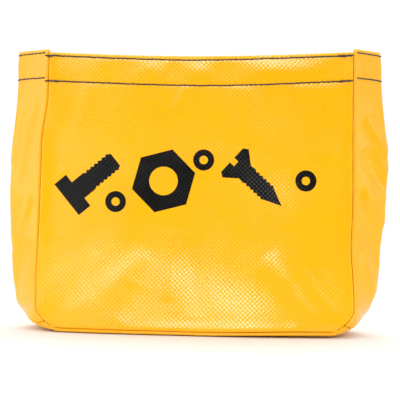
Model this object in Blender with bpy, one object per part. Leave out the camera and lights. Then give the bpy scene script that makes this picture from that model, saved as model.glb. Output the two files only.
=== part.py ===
"""Foreign-object pouch: a sewn bag of vinyl-coated cloth with two side gussets, a bottom gusset,
a hemmed mouth that closes with hook-and-loop tape, printed marks and two belt loops on its back.

Frame: +X to the right as the front is seen, -Y towards the front, +Z up.
The origin is the centre of the bottom gusset's lower face, on which the pouch stands.
"""

import math

import bmesh
import bpy
from mathutils import Vector

INCH = 0.0254

# Driving dimensions
PANEL_HALF_WIDTH = 4.0 * INCH
PANEL_HEIGHT = 7.0 * INCH
GUSSET_HALF = 1.0 * INCH
HEM_DEPTH = 0.75 * INCH
WALL = 0.0007
GAP = 0.0003

# Shape of the standing pouch
TOP_NARROWING = 0.0030
CORNER_CUT_ACROSS = 0.0110
CORNER_CUT_UP = 0.0140
FOOT_HALF_DEPTH = 0.0250
WAIST_HALF_DEPTH = 0.0140
MOUTH_HALF_DEPTH = 0.0163
FOOT_FADE_HEIGHT = 0.0450
MOUTH_FLARE_START = 0.1200
PANEL_BOW = 0.0040
MOUTH_DIP = 0.0042
PANEL_FOOT = WALL + 2.0 * GAP
SEAM_CLEARANCE = 0.0011
CREASE_CLEARANCE = 0.0009

# Stitching, tape, loops and print
THREAD_WIDTH = 0.0008
THREAD_HEIGHT = 0.0004
UPPER_ROW_DROP = 0.0020
LOWER_ROW_DROP = 0.0180
ROW_END_INSET = 0.0030
TAPE_HALF_LENGTH = 0.0840
TAPE_HEIGHT = 0.0150
TAPE_THICKNESS = 0.0013
LOOP_CENTRE_X = 0.0500
LOOP_HALF_WIDTH = 0.0127
LOOP_BOTTOM = 0.0740
LOOP_TOP = 0.1500
LOOP_END_LENGTH = 0.0100
LOOP_RISE = 0.0040
LOOP_STAND_OFF = 0.0070
LOOP_THICKNESS = 0.0014
MARK_CENTRE_Z = 0.0955
MARK_REACH = 0.0240
BOLT_X = -0.0660
BOLT_TILT = 130.0
NUT_X = -0.0200
NUT_TILT = 15.0
SCREW_X = 0.0380
SCREW_TILT = 48.0
WASHER_PLACES = (("left", -0.0500, 0.0820), ("middle", 0.0050, 0.1090), ("right", 0.0690, 0.0970))
WASHER_RADIUS = 0.0066
WASHER_BORE_RADIUS = 0.0027
NUT_RADIUS = 0.0205
NUT_BORE_RADIUS = 0.0090
INK_HEIGHT = 0.0003

FRONT = -1.0
BACK = 1.0
LEFT = -1.0
RIGHT = 1.0

COLUMNS = 16
ROWS = 14
HEM_COLUMNS = 20
GUSSET_ROWS = 18
MARK_COLUMNS = 8
MARK_ROWS = 6
LOOP_COLUMNS = 4
LOOP_BEND_SHARE = 0.7
NUT_SIDES = 6
BORE_STEPS = 24
WASHER_STEPS = 20
FOOT_FADE_POWER = 1.5
SWELL_HEIGHT = PANEL_HEIGHT / 3.0
CROWD_TO_FOOT = 1.5
ROW_START_SHARE = 0.12
ROW_END_SHARE = 0.92
SHARP_EDGE = math.radians(40.0)


def clear_scene():
    for obj in list(bpy.data.objects):
        bpy.data.objects.remove(obj, do_unlink=True)


def finish(name, colour, roughness):
    material = bpy.data.materials.new(name)
    material.use_nodes = True
    shader = material.node_tree.nodes["Principled BSDF"]
    shader.inputs["Base Color"].default_value = (*colour, 1.0)
    shader.inputs["Roughness"].default_value = roughness
    shader.inputs["Metallic"].default_value = 0.0
    return material


def smooth_rise(value, start, end):
    """0 below start, 1 above end and a smooth S between them."""
    share = min(1.0, max(0.0, (value - start) / (end - start)))
    return share * share * (3.0 - 2.0 * share)


# Shape of the cloth

def seam_half_width(z):
    """Half the distance between the two side seams at height z; the lower corners are cut round."""
    width = PANEL_HALF_WIDTH - TOP_NARROWING * z / PANEL_HEIGHT
    if z < CORNER_CUT_UP:
        share = 1.0 - z / CORNER_CUT_UP
        width -= CORNER_CUT_ACROSS * (1.0 - math.sqrt(1.0 - share * share))
    return width


def seam_half_depth(z):
    """Half the distance between the front and back seams of one side gusset at height z."""
    foot = (FOOT_HALF_DEPTH - WAIST_HALF_DEPTH) * math.exp(-((z / FOOT_FADE_HEIGHT) ** FOOT_FADE_POWER))
    flare = MOUTH_HALF_DEPTH - WAIST_HALF_DEPTH
    return WAIST_HALF_DEPTH + foot + flare * smooth_rise(z, MOUTH_FLARE_START, PANEL_HEIGHT)


def mouth_height(across):
    """Height of the hem's upper edge; it dips in the middle. across runs from -1 to 1."""
    return PANEL_HEIGHT - MOUTH_DIP * (1.0 - across * across)


def panel_surface(side, across, z):
    """Point on the outer face of the front or back panel at height z."""
    swell = PANEL_BOW * smooth_rise(z, 0.0, SWELL_HEIGHT) * (1.0 - across * across)
    return Vector((across * seam_half_width(z), side * (seam_half_depth(z) + swell), z))


def gusset_surface(flank, side, out, z):
    """Point on the outer face of half a side gusset: out is 0 at the seam and 1 at the crease."""
    depth = seam_half_depth(z)
    reach = math.sqrt(GUSSET_HALF ** 2 - depth ** 2)
    seam_x = seam_half_width(z) + SEAM_CLEARANCE
    x = seam_x + out * reach
    y = depth + out * (CREASE_CLEARANCE - depth)
    return Vector((flank * x, side * y, z))


def gusset_outward(flank, side, start, end):
    """Level unit vector square to the run from start to end, pointing out of the pouch."""
    across = Vector((flank * abs(end.y - start.y), side * abs(end.x - start.x), 0.0))
    return across.normalized()


# Mesh building

def add_object(name, mesh, material, hidden=False):
    obj = bpy.data.objects.new(name, mesh)
    bpy.context.scene.collection.objects.link(obj)
    if material:
        mesh.materials.append(material)
    if hidden:
        obj.hide_render = True
        obj.display_type = "WIRE"
    return obj


def put_on_axis(obj, holder):
    """Parents obj to the empty on its joint's axis and leaves it where it is."""
    obj.parent = holder
    obj.matrix_parent_inverse = holder.matrix_world.inverted()


def spaced(count, start=0.0, end=1.0):
    return [start + (end - start) * step / count for step in range(count + 1)]


def slab(name, outer, inner, material):
    """Closed solid between two grids of points that have the same rows and columns."""
    rows = len(outer)
    columns = len(outer[0])
    shape = bmesh.new()
    layers = []
    for grid in (outer, inner):
        layers.append([[shape.verts.new(point) for point in row] for row in grid])
    for layer in layers:
        for r in range(rows - 1):
            for c in range(columns - 1):
                shape.faces.new((layer[r][c], layer[r][c + 1], layer[r + 1][c + 1], layer[r + 1][c]))
    rim = [(0, c) for c in range(columns)]
    rim += [(r, columns - 1) for r in range(1, rows)]
    rim += [(rows - 1, c) for c in range(columns - 2, -1, -1)]
    rim += [(r, 0) for r in range(rows - 2, 0, -1)]
    for here, there in zip(rim, rim[1:] + rim[:1]):
        a, b = layers[0][here[0]][here[1]], layers[0][there[0]][there[1]]
        d, c = layers[1][here[0]][here[1]], layers[1][there[0]][there[1]]
        shape.faces.new((a, b, c, d))
    bmesh.ops.recalc_face_normals(shape, faces=shape.faces)
    mesh = bpy.data.meshes.new(name)
    shape.to_mesh(mesh)
    shape.free()
    mesh.shade_smooth()
    mesh.set_sharp_from_angle(angle=SHARP_EDGE)
    return add_object(name, mesh, material)


def panel_patch(name, side, across_span, heights, near, far, material, columns=COLUMNS):
    """Slab that follows a panel: near and far are how far its two faces stand out from the panel's
    outer face, in metres, and heights lists a function of across for each row."""
    grids = []
    for stand_out in (near, far):
        grid = []
        for height in heights:
            row = []
            for across in spaced(columns, *across_span):
                point = panel_surface(side, across, height(across))
                row.append(point + Vector((0.0, side * stand_out, 0.0)))
            grid.append(row)
        grids.append(grid)
    return slab(name, grids[0], grids[1], material)


def below_mouth(drop):
    return lambda across: mouth_height(across) - drop


# The sewn pieces

def panel(name, side, material):
    """One panel of cloth with its mouth edge turned in: two layers thick down to the hem line."""
    outer = []
    inner = []
    for share in spaced(ROWS):
        outer_row = []
        inner_row = []
        for across in spaced(COLUMNS, -1.0, 1.0):
            top = mouth_height(across)
            z = PANEL_FOOT + share ** CROWD_TO_FOOT * (top - PANEL_FOOT)
            layers = 2.0 if z > top - HEM_DEPTH else 1.0
            point = panel_surface(side, across, z)
            outer_row.append(point)
            inner_row.append(point - Vector((0.0, side * layers * WALL, 0.0)))
        outer.append(outer_row)
        inner.append(inner_row)
    return slab(name, outer, inner, material)


def gusset_half(name, flank, side, material):
    """Half a side gusset, from its seam to the crease down its middle."""
    outer = []
    inner = []
    for share in spaced(GUSSET_ROWS):
        z = PANEL_FOOT + share ** CROWD_TO_FOOT * (PANEL_HEIGHT - PANEL_FOOT)
        start = gusset_surface(flank, side, 0.0, z)
        end = gusset_surface(flank, side, 1.0, z)
        wall = gusset_outward(flank, side, start, end) * WALL
        outer.append([start, end])
        inner.append([start - wall, end - wall])
    return slab(name, outer, inner, material)


def bottom_gusset(material):
    """The flat strip that the pouch stands on; its ends are pointed, to meet the side gussets' creases."""
    grids = []
    for z in (0.0, WALL):
        grid = []
        for side, out in ((FRONT, 0.0), (FRONT, 1.0), (BACK, 0.0)):
            left_end = gusset_surface(LEFT, side, out, PANEL_FOOT)
            right_end = gusset_surface(RIGHT, side, out, PANEL_FOOT)
            y = side * FOOT_HALF_DEPTH * (1.0 - out)
            grid.append([Vector((left_end.x, y, z)), Vector((right_end.x, y, z))])
        grids.append(grid)
    return slab("bottom_gusset", grids[0], grids[1], material)


def tape(name, side, material):
    """Hook or loop tape sewn inside the hem between the two stitched rows."""
    across = TAPE_HALF_LENGTH / seam_half_width(PANEL_HEIGHT)
    top_drop = 0.5 * (HEM_DEPTH - TAPE_HEIGHT)
    near = -(2.0 * WALL + GAP)
    heights = [below_mouth(top_drop + TAPE_HEIGHT), below_mouth(top_drop)]
    return panel_patch(
        name, side, (-across, across), heights, near, near - TAPE_THICKNESS, material, HEM_COLUMNS
    )


def hem_row(name, side, drop, material):
    """A row of stitching across a panel's hem, between its two back-tacks."""
    end = 1.0 - ROW_END_INSET / PANEL_HALF_WIDTH
    heights = [below_mouth(drop + THREAD_WIDTH / 2.0), below_mouth(drop - THREAD_WIDTH / 2.0)]
    return panel_patch(
        name, side, (-end, end), heights, GAP, GAP + THREAD_HEIGHT, material, HEM_COLUMNS
    )


def gusset_row(name, flank, side, drop, material):
    """A row of stitching across the hem of half a side gusset."""
    grids = []
    for stand_out in (GAP, GAP + THREAD_HEIGHT):
        grid = []
        middle = PANEL_HEIGHT - drop
        for z in (middle - THREAD_WIDTH / 2.0, middle + THREAD_WIDTH / 2.0):
            start = gusset_surface(flank, side, ROW_START_SHARE, z)
            end = gusset_surface(flank, side, ROW_END_SHARE, z)
            lift = gusset_outward(flank, side, start, end) * stand_out
            grid.append([start + lift, end + lift])
        grids.append(grid)
    return slab(name, grids[0], grids[1], material)


def belt_loop(name, centre_x, material):
    """A strap sewn to the back panel at its two ends, standing off between them for a belt."""
    half_length = (LOOP_TOP - LOOP_BOTTOM) / 2.0
    middle = (LOOP_TOP + LOOP_BOTTOM) / 2.0
    upper_half = [
        (half_length - LOOP_END_LENGTH - LOOP_RISE, 1.0),
        (half_length - LOOP_END_LENGTH - LOOP_RISE / 2.0, LOOP_BEND_SHARE),
        (half_length - LOOP_END_LENGTH, 0.0),
        (half_length, 0.0),
    ]
    profile = [(middle - away, share) for away, share in reversed(upper_half)]
    profile += [(middle + away, share) for away, share in upper_half]
    grids = []
    for thickness in (0.0, LOOP_THICKNESS):
        grid = []
        for z, share in profile:
            row = []
            for x in spaced(LOOP_COLUMNS, centre_x - LOOP_HALF_WIDTH, centre_x + LOOP_HALF_WIDTH):
                point = panel_surface(BACK, x / seam_half_width(z), z)
                lift = GAP + share * LOOP_STAND_OFF + thickness
                row.append(point + Vector((0.0, lift, 0.0)))
            grid.append(row)
        grids.append(grid)
    return slab(name, grids[0], grids[1], material)


# The printed marks: flat outlines of small hardware

def turned(outline, degrees):
    angle = math.radians(degrees)
    return [
        (x * math.cos(angle) - z * math.sin(angle), x * math.sin(angle) + z * math.cos(angle))
        for x, z in outline
    ]


def ring_of_points(radius, count):
    return [
        (radius * math.cos(math.tau * step / count), radius * math.sin(math.tau * step / count))
        for step in range(count)
    ]


def mirrored_outline(half):
    """Closed outline from its right half, listed from top to bottom."""
    return half + [(-x, z) for x, z in reversed(half) if x > 0.0]


def bolt_outline():
    head_half, shank_half = 0.0125, 0.0062
    top, neck, end = 0.0200, 0.0105, -0.0200
    half = [(head_half, top), (head_half, neck), (shank_half, neck), (shank_half, end)]
    return turned(mirrored_outline(half), BOLT_TILT)


def screw_outline():
    head_half, shank_half = 0.0120, 0.0060
    top, rim, neck, taper, tip = 0.0205, 0.0170, 0.0095, -0.0110, -0.0210
    half = [(head_half, top), (head_half, rim), (shank_half, neck), (shank_half, taper), (0.0, tip)]
    return turned(mirrored_outline(half), SCREW_TILT)


def prism(name, outline, centre_x, centre_z):
    """Hidden guide solid: the outline carried through the front panel along Y."""
    shape = bmesh.new()
    near, far = -2.0 * FOOT_HALF_DEPTH, 0.0
    corners = [shape.verts.new((centre_x + x, near, centre_z + z)) for x, z in outline]
    face = shape.faces.new(corners)
    moved = bmesh.ops.extrude_face_region(shape, geom=[face])["geom"]
    ends = [item for item in moved if isinstance(item, bmesh.types.BMVert)]
    bmesh.ops.translate(shape, verts=ends, vec=(0.0, far - near, 0.0))
    bmesh.ops.recalc_face_normals(shape, faces=shape.faces)
    mesh = bpy.data.meshes.new(name)
    shape.to_mesh(mesh)
    shape.free()
    return add_object(name, mesh, None, hidden=True)


def printed_mark(name, centre_x, centre_z, outline, hole, material):
    """A layer of ink on the front panel, cut to an outline."""
    width = seam_half_width(centre_z)
    span = ((centre_x - MARK_REACH) / width, (centre_x + MARK_REACH) / width)
    heights = [
        lambda across, z=z: z
        for z in spaced(MARK_ROWS, centre_z - MARK_REACH, centre_z + MARK_REACH)
    ]
    mark = panel_patch(name, FRONT, span, heights, GAP, GAP + INK_HEIGHT, material, MARK_COLUMNS)
    keep = mark.modifiers.new("outline", "BOOLEAN")
    keep.operation = "INTERSECT"
    keep.object = prism(name + "_outline_guide", outline, centre_x, centre_z)
    if hole:
        cut = mark.modifiers.new("hole", "BOOLEAN")
        cut.operation = "DIFFERENCE"
        cut.object = prism(name + "_hole_guide", hole, centre_x, centre_z)
    return mark


def all_marks(material):
    """Six pieces of loose hardware: a bolt, a nut, a screw and three washers."""
    nut = turned(ring_of_points(NUT_RADIUS, NUT_SIDES), NUT_TILT)
    nut_bore = ring_of_points(NUT_BORE_RADIUS, BORE_STEPS)
    marks = [
        printed_mark("print_bolt", BOLT_X, MARK_CENTRE_Z, bolt_outline(), None, material),
        printed_mark("print_nut", NUT_X, MARK_CENTRE_Z, nut, nut_bore, material),
        printed_mark("print_screw", SCREW_X, MARK_CENTRE_Z, screw_outline(), None, material),
    ]
    washer = ring_of_points(WASHER_RADIUS, WASHER_STEPS)
    washer_bore = ring_of_points(WASHER_BORE_RADIUS, WASHER_STEPS)
    for word, x, z in WASHER_PLACES:
        marks.append(printed_mark("print_" + word + "_washer", x, z, washer, washer_bore, material))
    return marks


def build():
    clear_scene()
    yellow = finish("yellow_vinyl", (0.98, 0.52, 0.01), 0.42)
    thread = finish("dark_thread", (0.05, 0.03, 0.02), 0.8)
    hook = finish("hook_tape", (0.02, 0.02, 0.02), 0.9)
    fleece = finish("loop_tape", (0.03, 0.03, 0.03), 0.95)
    strap = finish("loop_strap", (0.98, 0.52, 0.01), 0.45)
    ink = finish("black_ink", (0.012, 0.011, 0.01), 0.5)

    mouth_axis = bpy.data.objects.new("mouth_axis", None)
    mouth_axis.location = (0.0, -FOOT_HALF_DEPTH, PANEL_FOOT)
    bpy.context.scene.collection.objects.link(mouth_axis)
    bpy.context.view_layer.update()

    swinging = [panel("front_panel", FRONT, yellow)]
    panel("back_panel", BACK, yellow)
    bottom_gusset(yellow)
    swinging.append(tape("hook_tape", FRONT, hook))
    tape("loop_tape", BACK, fleece)

    rows = (("upper", UPPER_ROW_DROP), ("lower", LOWER_ROW_DROP))
    for level, drop in rows:
        swinging.append(hem_row("front_hem_" + level + "_stitching", FRONT, drop, thread))
        hem_row("back_hem_" + level + "_stitching", BACK, drop, thread)

    for word, flank in (("left", LEFT), ("right", RIGHT)):
        swinging.append(gusset_half(word + "_gusset_front_half", flank, FRONT, yellow))
        gusset_half(word + "_gusset_rear_half", flank, BACK, yellow)
        for level, drop in rows:
            name = word + "_gusset_front_" + level + "_stitching"
            swinging.append(gusset_row(name, flank, FRONT, drop, thread))
            gusset_row(word + "_gusset_rear_" + level + "_stitching", flank, BACK, drop, thread)
        belt_loop(word + "_belt_loop", flank * LOOP_CENTRE_X, strap)

    swinging += all_marks(ink)
    for obj in swinging:
        put_on_axis(obj, mouth_axis)


build()
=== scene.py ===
"""Looks of the foreign-object pouch: vinyl-coated cloth with turned seams, a stitched hem, creased
side gussets, hook-and-loop tape, belt loops and printed marks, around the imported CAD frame.

Frame: +X to the right as the front is seen, -Y towards the front, +Z up, metres.
"""

import math

import bmesh
import bpy
import numpy as np
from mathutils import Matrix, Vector


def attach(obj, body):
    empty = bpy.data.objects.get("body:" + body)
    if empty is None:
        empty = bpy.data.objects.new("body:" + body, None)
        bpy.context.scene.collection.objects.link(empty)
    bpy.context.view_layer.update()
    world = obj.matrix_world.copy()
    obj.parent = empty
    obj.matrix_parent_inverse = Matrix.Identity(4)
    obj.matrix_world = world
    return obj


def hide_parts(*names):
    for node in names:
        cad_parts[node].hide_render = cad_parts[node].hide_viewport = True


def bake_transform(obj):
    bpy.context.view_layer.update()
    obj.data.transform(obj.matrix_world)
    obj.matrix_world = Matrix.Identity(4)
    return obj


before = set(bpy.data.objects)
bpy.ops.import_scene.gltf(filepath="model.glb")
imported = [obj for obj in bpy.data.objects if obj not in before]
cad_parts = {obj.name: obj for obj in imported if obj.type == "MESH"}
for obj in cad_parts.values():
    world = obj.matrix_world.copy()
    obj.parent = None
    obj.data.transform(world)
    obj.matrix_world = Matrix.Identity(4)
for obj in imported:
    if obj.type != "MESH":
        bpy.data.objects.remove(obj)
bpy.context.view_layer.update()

MM = 0.001
INCH = 25.4 * MM
FRONT = -1.0
BACK = 1.0
LEFT = -1.0
RIGHT = 1.0

# Cut sizes of the cloth
PANEL_HALF_WIDTH = 4.0 * INCH
PANEL_HEIGHT = 7.0 * INCH
GUSSET_HALF = 1.0 * INCH
HEM_DEPTH = 0.75 * INCH
WALL = 0.7 * MM
HEM_THICKNESS = 1.6 * MM
ALLOWANCE = 6.0 * MM
ALLOWANCE_TRIM = 0.62
FOOT_ALLOWANCE_SHARE = 0.35
TRIM_START = 55.0 * MM
TRIM_END = 105.0 * MM

# Shape of the standing pouch
TOP_NARROWING = 3.0 * MM
CORNER_ACROSS = 14.0 * MM
CORNER_UP = 13.0 * MM
CORNER_POWER = 1.45
FOOT_HALF_DEPTH = 25.0 * MM
WAIST_HALF_DEPTH = 14.0 * MM
MOUTH_HALF_DEPTH = 16.3 * MM
FOOT_SLOPE_TOP = 56.0 * MM
FOOT_SLOPE_SOFTNESS = 9.0 * MM
MOUTH_FLARE_START = 120.0 * MM
PANEL_BOW = 4.6 * MM
BOW_POWER = 3.0
MOUTH_MIDDLE = 173.8 * MM
MOUTH_RISE = 3.2 * MM
MOUTH_TILT = 1.1 * MM
PANEL_ROLL = 1.2 * MM
GUSSET_ROLL = 1.1 * MM
SEAM_GAP = 0.12 * MM
GRID = 1.2 * MM

# Hem stitching
UPPER_ROW_DROP = 2.4 * MM
LOWER_ROW_DROP = 18.2 * MM
STITCH_PITCH = 3.2 * MM
THREAD = 0.84 * MM
GUSSET_TOP_LIFT = 2.0 * MM
NOSE_BACK = {LEFT: 0.8 * MM, RIGHT: 0.2 * MM}

WEAVE_PITCH = 1.42 * MM


def smooth_rise(value, start, end):
    """0 below start, 1 above end and a smooth S between them."""
    share = np.clip((np.asarray(value, float) - start) / (end - start), 0.0, 1.0)
    return share * share * (3.0 - 2.0 * share)


def hump(value, centre, spread):
    return np.exp(-(((np.asarray(value, float) - centre) / spread) ** 2))


# Folds: soft ridges and valleys, each along a line on the cloth

def fold(x, z, start, end, spread, height):
    """Ridge (or valley, where height is negative) along the line from start to end."""
    run = np.array(end, float) - np.array(start, float)
    length = math.hypot(*run)
    along = ((x - start[0]) * run[0] + (z - start[1]) * run[1]) / length ** 2
    aside = ((x - start[0]) * run[1] - (z - start[1]) * run[0]) / length
    ends = np.clip(1.0 - (2.0 * along - 1.0) ** 4, 0.0, 1.0)
    ends[(along < 0.0) | (along > 1.0)] = 0.0
    return height * ends * np.exp(-((aside / spread) ** 2))


def dent(x, z, centre, spread_x, spread_z, height):
    return height * hump(x, centre[0], spread_x) * hump(z, centre[1], spread_z)


# Outline of the panels, which the side and bottom gussets are sewn to

def foot_height(x):
    """Height of the seam between a panel and the bottom gusset."""
    return 2.6 * MM + 1.3 * MM * smooth_rise(x, 0.0, 80.0 * MM)


def mouth_height(across):
    return MOUTH_MIDDLE + MOUTH_RISE * across ** 2 + MOUTH_TILT * across


def side_width(flank, z):
    """Distance of a side seam from the middle, above the rounded corner."""
    width = PANEL_HALF_WIDTH - 1.4 * MM - TOP_NARROWING * z / PANEL_HEIGHT
    if flank == LEFT:
        width = width - 3.2 * MM * smooth_rise(z, 118.0 * MM, 150.0 * MM)
        width = width - 1.2 * MM * (1.0 - smooth_rise(z, 15.0 * MM, 40.0 * MM))
    else:
        width = width - 1.2 * MM * hump(z, 55.0 * MM, 18.0 * MM)
    return width


def seam_width(flank, z):
    """Distance of a side seam from the middle, rounded in at the lower corner."""
    foot = foot_height(flank * PANEL_HALF_WIDTH)
    share = np.clip(1.0 - (z - foot) / CORNER_UP, 0.0, 1.0)
    curve = (1.0 - share ** CORNER_POWER) ** (1.0 / CORNER_POWER)
    return side_width(flank, z) - CORNER_ACROSS * (1.0 - curve)


def half_depth(z):
    """Half the distance between the front and back seams at height z."""
    slope = (FOOT_HALF_DEPTH - WAIST_HALF_DEPTH) / FOOT_SLOPE_TOP
    below = (FOOT_SLOPE_TOP - np.maximum(z, 0.0)) / FOOT_SLOPE_SOFTNESS
    foot = slope * FOOT_SLOPE_SOFTNESS * np.logaddexp(0.0, below)
    flare = MOUTH_HALF_DEPTH - WAIST_HALF_DEPTH
    return WAIST_HALF_DEPTH + foot + flare * smooth_rise(z, MOUTH_FLARE_START, PANEL_HEIGHT)


def bow(across):
    """How far the middle of a panel swells beyond its side seams."""
    return PANEL_BOW * (1.0 - np.minimum(np.abs(across), 1.0) ** BOW_POWER)


# Relief of each panel

def hem_relief(x, drop, seed):
    """Stand-out of the doubled hem: full between its two stitched rows and drawn in along each."""
    waves = np.sin(x / (7.5 * MM) + seed + 1.9 * np.sin(x / (21.0 * MM) + seed))
    full = (0.22 + 0.38 * waves) * MM * hump(drop, 10.0 * MM, 6.5 * MM)
    rows = hump(drop, UPPER_ROW_DROP, 0.8 * MM) + hump(drop, LOWER_ROW_DROP, 1.1 * MM)
    pull = 0.85 + 0.15 * np.cos(math.tau * x / STITCH_PITCH)
    return full - 0.17 * MM * rows * pull


def front_relief(x, z):
    """The front panel's own folds and dents."""
    mm_x = x / MM
    mm_z = z / MM
    lift = np.zeros_like(x)
    lines = [
        # from the lower right corner up to the left: a valley with a ridge beside it
        ((99.0, 3.0), (52.0, 66.0), 6.0, -0.7),
        ((86.0, 4.0), (44.0, 50.0), 8.0, 0.9),
        ((62.0, 6.0), (58.0, 36.0), 5.0, -0.3),
        # along the foot
        ((-40.0, 4.0), (96.0, 4.0), 4.0, 0.35),
        # fans from the lower left corner
        ((-100.0, 6.0), (-34.0, 34.0), 8.0, 0.35),
        ((-100.0, 12.0), (-56.0, 74.0), 9.0, -0.35),
        # lower third
        ((-62.0, 26.0), (-28.0, 50.0), 6.0, 0.35),
        ((-76.0, 26.0), (-60.0, 50.0), 5.0, 0.2),
        ((-16.0, 20.0), (-14.0, 66.0), 6.0, 0.4),
        ((2.0, 12.0), (0.0, 62.0), 6.0, -0.35),
        ((-44.0, 8.0), (-34.0, 30.0), 8.0, -0.25),
        # beside the seams
        ((-93.0, 60.0), (-88.0, 130.0), 7.0, 0.5),
        ((-95.0, 94.0), (-82.0, 102.0), 2.6, 0.35),
        ((-96.0, 56.0), (-84.0, 62.0), 2.6, 0.35),
        ((96.0, 100.0), (84.0, 110.0), 3.0, -0.3),
        ((92.0, 70.0), (92.0, 140.0), 4.0, 0.35),
        # hanging from the hem
        ((-4.0, 157.0), (-16.0, 138.0), 3.5, 0.45),
        ((-70.0, 158.0), (-82.0, 118.0), 8.0, 0.4),
        ((58.0, 153.0), (94.0, 155.0), 3.0, 0.3),
        ((30.0, 156.0), (22.0, 120.0), 9.0, 0.3),
    ]
    for start, end, spread, height in lines:
        lift += fold(mm_x, mm_z, start, end, spread, height * MM)
    lift += dent(mm_x, mm_z, (32.0, 8.0), 26.0, 20.0, 1.0 * MM)
    lift += dent(mm_x, mm_z, (52.0, 62.0), 32.0, 34.0, 2.6 * MM)
    lift += dent(mm_x, mm_z, (-40.0, 120.0), 30.0, 22.0, -0.5 * MM)
    lift += dent(mm_x, mm_z, (45.0, 125.0), 26.0, 20.0, 0.4 * MM)
    return lift


def back_relief(x, z):
    """The back panel's folds: drawn in above the belt loops and creased to the corners."""
    mm_x = x / MM
    mm_z = z / MM
    lift = np.zeros_like(x)
    lines = [
        ((-96.0, 8.0), (-50.0, 62.0), 6.0, -0.7),
        ((96.0, 8.0), (58.0, 58.0), 6.0, -0.8),
        ((-20.0, 14.0), (24.0, 40.0), 9.0, 0.6),
        ((-80.0, 10.0), (80.0, 8.0), 5.0, 0.5),
        ((0.0, 156.0), (6.0, 110.0), 9.0, 0.5),
    ]
    for start, end, spread, height in lines:
        lift += fold(mm_x, mm_z, start, end, spread, height * MM)
    return lift


RELIEFS = {FRONT: front_relief, BACK: back_relief}
HEM_SEEDS = {FRONT: 0.6, BACK: 2.9}


def panel_height(side, across, z):
    """Distance of a panel's outer face from the pouch's middle plane."""
    left = seam_width(LEFT, z)
    right = seam_width(RIGHT, z)
    x = np.where(across < 0.0, across * left, across * right)
    swell = bow(across)
    edge = np.clip((1.0 - np.abs(across)) / 0.035, 0.0, 1.0)
    edge = edge * edge * (3.0 - 2.0 * edge)
    relief = RELIEFS[side](x, z) + hem_relief(x, mouth_height(across) - z, HEM_SEEDS[side])
    ripple = np.sin(x / (9.3 * MM) + z / (15.1 * MM)) * np.sin(z / (12.7 * MM) - x / (31.0 * MM))
    slack = 0.12 * MM * ripple
    return x, half_depth(z) + swell + edge * (relief + slack)


def panel_points(side, across, z, out=0.0):
    """Points on a panel's outer face, moved out of it by the distance out."""
    x, depth = panel_height(side, across, z)
    return np.stack([x, side * (depth + out), z], -1)


def across_at(x, z):
    """Share of the panel's width at x and height z, from -1 to 1."""
    width = np.where(x < 0.0, seam_width(LEFT, z), seam_width(RIGHT, z))
    return x / width


def panel_frame(side, x, z):
    """Point, outward normal and level tangent on a panel at x and z."""
    step = 0.2 * MM
    here = panel_points(side, across_at(x, z), z)
    right = panel_points(side, across_at(x + step, z), z)
    above = panel_points(side, across_at(x, z + step), z + step)
    tangent = right - here
    rise = above - here
    normal = np.cross(tangent, rise)
    normal /= np.linalg.norm(normal, axis=-1, keepdims=True)
    if side == BACK:
        normal = -normal
    tangent /= np.linalg.norm(tangent, axis=-1, keepdims=True)
    return here, normal, tangent


# Mesh building

def add_mesh(name, points, faces, material, uv=None, values=None, smooth_angle=math.radians(50.0)):
    """Mesh object from points and faces, with a UV map in metres and named values for each vertex."""
    mesh = bpy.data.meshes.new(name)
    mesh.from_pydata([tuple(p) for p in points], [], [tuple(int(i) for i in f) for f in faces])
    corners = np.zeros(len(mesh.loops), dtype=np.int32)
    mesh.loops.foreach_get("vertex_index", corners)
    if uv is not None:
        layer = mesh.uv_layers.new(name="cloth")
        layer.data.foreach_set("uv", np.asarray(uv, np.float32)[corners].ravel())
    for key, value in (values or {}).items():
        attribute = mesh.attributes.new(key, "FLOAT", "POINT")
        attribute.data.foreach_set("value", np.asarray(value, np.float32).ravel())
    mesh.shade_smooth()
    mesh.set_sharp_from_angle(angle=smooth_angle)
    mesh.materials.append(material)
    obj = bpy.data.objects.new(name, mesh)
    bpy.context.scene.collection.objects.link(obj)
    return obj


def grid_faces(rows, columns, first=0, flip=False):
    index = first + np.arange(rows * columns).reshape(rows, columns)
    a, b = index[:-1, :-1], index[:-1, 1:]
    c, d = index[1:, 1:], index[1:, :-1]
    order = (a, d, c, b) if flip else (a, b, c, d)
    return np.stack(order, -1).reshape(-1, 4)


def rim_faces(rows, columns, second, flip=False):
    index = np.arange(rows * columns).reshape(rows, columns)
    rim = np.concatenate([index[0, :], index[1:, -1], index[-1, -2::-1], index[-2:0:-1, 0]])
    here = rim
    there = np.roll(rim, -1)
    order = (here, there, there + second, here + second) if flip else (
        there, here, here + second, there + second
    )
    return np.stack(order, -1)


def volume(points, faces):
    a, b, c, d = (points[faces[:, i]] for i in range(4))
    first = np.einsum("ij,ij->i", a, np.cross(b, c)).sum()
    return (first + np.einsum("ij,ij->i", a, np.cross(c, d)).sum()) / 6.0


def closed_sheet(name, outer, inner, uv, material, values=None):
    """Closed body between two grids of points with the same rows and columns."""
    rows, columns = outer.shape[:2]
    count = rows * columns
    points = np.concatenate([outer.reshape(-1, 3), inner.reshape(-1, 3)])
    faces = np.concatenate([
        grid_faces(rows, columns),
        grid_faces(rows, columns, count, flip=True),
        rim_faces(rows, columns, count),
    ])
    if volume(points, faces) < 0.0:
        faces = faces[:, ::-1]
    uvs = np.concatenate([uv.reshape(-1, 2), uv.reshape(-1, 2)])
    both = {k: np.concatenate([v.ravel(), v.ravel()]) for k, v in (values or {}).items()}
    return add_mesh(name, points, faces, material, uvs, both)


# Materials

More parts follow.
